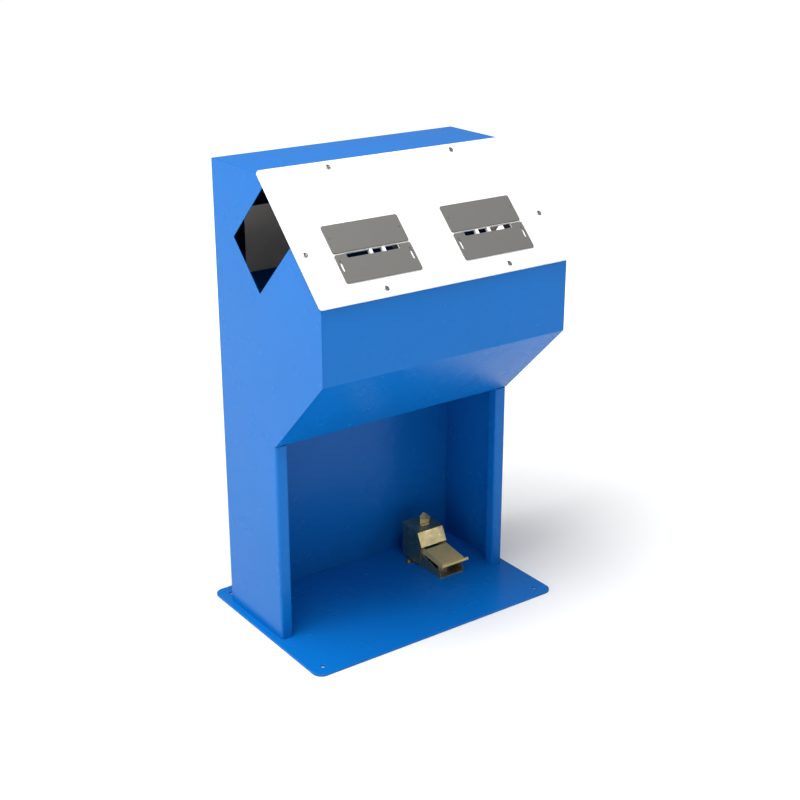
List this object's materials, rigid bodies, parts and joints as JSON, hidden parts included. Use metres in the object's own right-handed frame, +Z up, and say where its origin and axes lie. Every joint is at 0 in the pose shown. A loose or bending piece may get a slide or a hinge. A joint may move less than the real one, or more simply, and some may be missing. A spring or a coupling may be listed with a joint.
{
  "type": "ticket vending machine",
  "caption": "Floor-standing foot-operated ticket machine: blue folded-steel console, white sloped front with twin ticket mouths, side access notches, rear door and foot valve.",
  "frame": {"origin": "centre of the base plate's underside, on the floor", "axes": "+Z up, -Y to the front where the operator stands, +X to the operator's right"},
  "size_m": [0.736, 0.5395, 1.1724],
  "materials": {
    "blue_paint": "satin powder coat",
    "white_paint": "matt powder coat",
    "grey_paint": "matt grey coat",
    "light_paint": "satin light grey coat",
    "steel": "zinc plated",
    "dark_steel": "blackened",
    "aluminium": "satin anodised",
    "black_rubber": "matt",
    "black_plastic": "matt",
    "ticket_paper": "matt",
    "brass": "turned",
    "yellow_zinc": "yellow passivated zinc plate"
  },
  "bodies": {
    "cabinet": {"base_plate": "blue_paint", "left_side_panel": "blue_paint", "right_side_panel": "blue_paint", "back_panel": "blue_paint", "top_cover": "blue_paint", "front_hood": "blue_paint", "compartment_shelf": "blue_paint", "left_panel_rail": "steel", "right_panel_rail": "steel", "front_panel": "white_paint", "panel_screws": "steel", "left_upper_plate": "grey_paint", "right_upper_plate": "grey_paint", "left_lower_plate": "grey_paint", "right_lower_plate": "grey_paint", "plate_rivets": "dark_steel", "left_slot_guide": "white_paint", "right_slot_guide": "white_paint", "left_unit_frame": "steel", "right_unit_frame": "steel", "left_air_cylinder": "aluminium", "right_air_cylinder": "aluminium", "right_ticket_strip": "ticket_paper", "hinge_leaves": "light_paint", "hinge_pins": "steel", "air_inlet": "brass", "valve_manifold": "aluminium", "manifold_fittings": "black_plastic", "hose_grommet": "black_rubber", "pedal_base": "yellow_zinc", "pedal_hood": "yellow_zinc", "pedal_pin": "steel", "valve_body": "aluminium", "return_spring": "steel", "pedal_fittings": "black_plastic", "pedal_screws": "steel"},
    "left_roll": {"left_roll_spindle": "black_plastic", "left_ticket_rolls": "ticket_paper"},
    "right_roll": {"right_roll_spindle": "black_plastic", "right_ticket_rolls": "ticket_paper"},
    "left_drive": {"left_drive_roller": "black_rubber"},
    "right_drive": {"right_drive_roller": "black_rubber"},
    "left_pinch": {"left_pinch_roller": "black_rubber"},
    "right_pinch": {"right_pinch_roller": "black_rubber"},
    "left_cutter": {"left_blade": "steel", "left_blade_block": "dark_steel", "left_piston_rod": "steel"},
    "right_cutter": {"right_blade": "steel", "right_blade_block": "dark_steel", "right_piston_rod": "steel"},
    "service_door": {"rear_door": "light_paint", "door_knob": "black_plastic"},
    "pedal": {"pedal_plate": "yellow_zinc"},
    "plunger": {"valve_plunger": "steel"}
  },
  "joints": [
    {"name": "left_roll_spin", "type": "hinge", "parent": "cabinet", "child": "left_roll", "pos_m": [-0.164, -0.11137, 0.8478], "axis": [1, 0, 0], "continuous": true},
    {"name": "left_drive_spin", "type": "hinge", "parent": "cabinet", "child": "left_drive", "pos_m": [-0.164, -0.13728, 0.91381], "axis": [1, 0, 0], "continuous": true},
    {"name": "left_pinch_spin", "type": "hinge", "parent": "cabinet", "child": "left_pinch", "pos_m": [-0.164, -0.1201, 0.93099], "axis": [1, 0, 0], "continuous": true},
    {"name": "left_cutter_slide", "type": "slide", "parent": "cabinet", "child": "left_cutter", "axis": [0, 0.7071, 0.7071], "range_m": [0, 0.015]},
    {"name": "right_roll_spin", "type": "hinge", "parent": "cabinet", "child": "right_roll", "pos_m": [0.164, -0.11137, 0.8478], "axis": [1, 0, 0], "continuous": true},
    {"name": "right_drive_spin", "type": "hinge", "parent": "cabinet", "child": "right_drive", "pos_m": [0.164, -0.13728, 0.91381], "axis": [1, 0, 0], "continuous": true},
    {"name": "right_pinch_spin", "type": "hinge", "parent": "cabinet", "child": "right_pinch", "pos_m": [0.164, -0.1201, 0.93099], "axis": [1, 0, 0], "continuous": true},
    {"name": "right_cutter_slide", "type": "slide", "parent": "cabinet", "child": "right_cutter", "axis": [0, 0.7071, 0.7071], "range_m": [0, 0.015]},
    {"name": "service_door_hinge", "type": "hinge", "parent": "cabinet", "child": "service_door", "pos_m": [0, 0.192, 0.865], "axis": [-1, 0, 0], "range_deg": [0, 100]},
    {"name": "pedal_hinge", "type": "hinge", "parent": "cabinet", "child": "pedal", "pos_m": [0.1987, 0.082, 0.051], "axis": [1, 0, 0], "range_deg": [0, 9], "stiffness_Nm_per_rad": 6, "springref_deg": -6.88},
    {"name": "plunger_slide", "type": "slide", "parent": "cabinet", "child": "plunger", "axis": [0, 0, -1], "range_m": [0, 0.00974], "stiffness_N_per_m": 500, "springref_m": -0.004, "deforming": ["return_spring"]}
  ],
  "couplings": [
    {"joint": "plunger_slide", "follows": "pedal_hinge", "m_per_rad": 0.0617},
    {"joint": "left_cutter_slide", "follows": "pedal_hinge", "m_per_rad": 0.09539},
    {"joint": "right_cutter_slide", "follows": "pedal_hinge", "m_per_rad": 0.09539},
    {"joint": "left_pinch_spin", "follows": "left_drive_spin", "ratio": -1},
    {"joint": "right_pinch_spin", "follows": "right_drive_spin", "ratio": -1}
  ]
}
